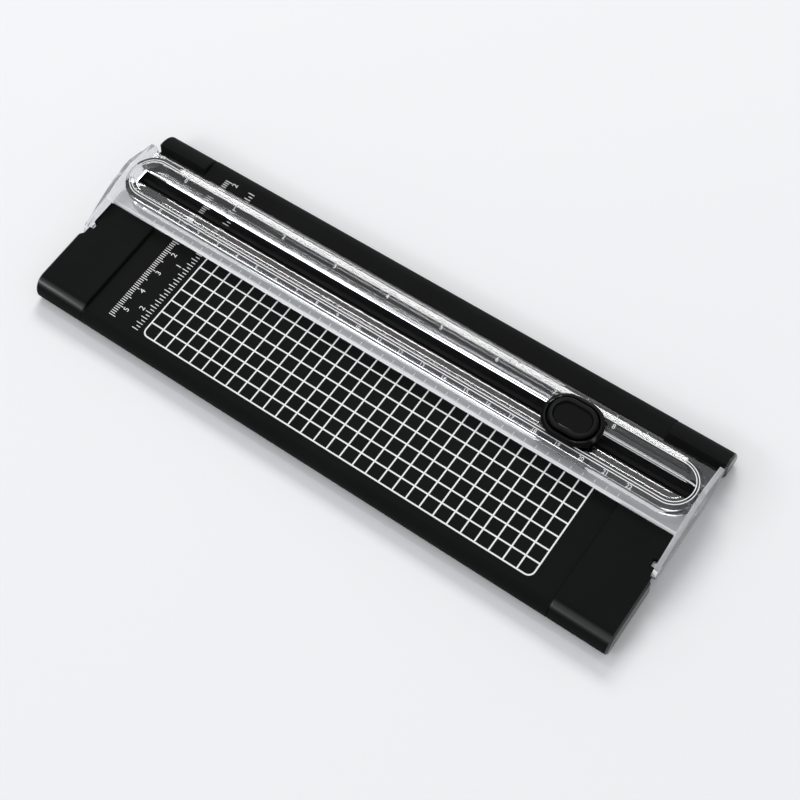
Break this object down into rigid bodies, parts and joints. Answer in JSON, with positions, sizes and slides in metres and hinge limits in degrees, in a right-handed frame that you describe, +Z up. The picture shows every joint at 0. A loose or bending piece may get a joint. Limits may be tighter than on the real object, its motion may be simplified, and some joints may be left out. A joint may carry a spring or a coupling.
{
  "type": "paper cutter",
  "caption": "Small sliding paper cutter: a flat base with a scaled platform, a clear guide rail that swings up, and a sprung blade carriage that runs along the rail's slot.",
  "frame": {"origin": "on the table, under the middle of the overall box, with the rail down and the button up", "axes": "+X along the cut to the user's right, +Y away from the user, +Z up"},
  "size_m": [0.27, 0.09, 0.0209],
  "materials": {
    "base_plastic": "fine matte moulded black",
    "strip_vinyl": "soft matte black",
    "clear_plastic": "clear polished moulding",
    "knob_plastic": "satin black",
    "blade_steel": "ground steel",
    "spring_steel": "drawn wire",
    "foot_rubber": "matte black"
  },
  "bodies": {
    "base": {"base_shell": "base_plastic", "cutting_strip": "strip_vinyl", "foot_front_left": "foot_rubber", "foot_front_right": "foot_rubber", "foot_rear_left": "foot_rubber", "foot_rear_right": "foot_rubber"},
    "rail": {"guide_rail": "clear_plastic"},
    "carriage": {"carriage_housing": "knob_plastic", "carriage_keeper": "knob_plastic", "return_spring_left": "spring_steel", "return_spring_right": "spring_steel"},
    "button": {"press_button": "knob_plastic", "blade_holder": "knob_plastic", "blade": "blade_steel", "blade_rivet": "blade_steel"}
  },
  "joints": [
    {"name": "rail_hinge", "type": "hinge", "parent": "base", "child": "rail", "pos_m": [0, -0.0096, 0.0075], "axis": [1, 0, 0], "range_deg": [0, 85]},
    {"name": "carriage_slide", "type": "slide", "parent": "rail", "child": "carriage", "axis": [1, 0, 0], "range_m": [-0.2005, 0.0395]},
    {"name": "button_press", "type": "slide", "parent": "carriage", "child": "button", "axis": [0, 0, 1], "range_m": [-0.0012, 0], "stiffness_N_per_m": 400, "springref_m": 0.002, "deforming": ["return_spring_left", "return_spring_right"]}
  ]
}
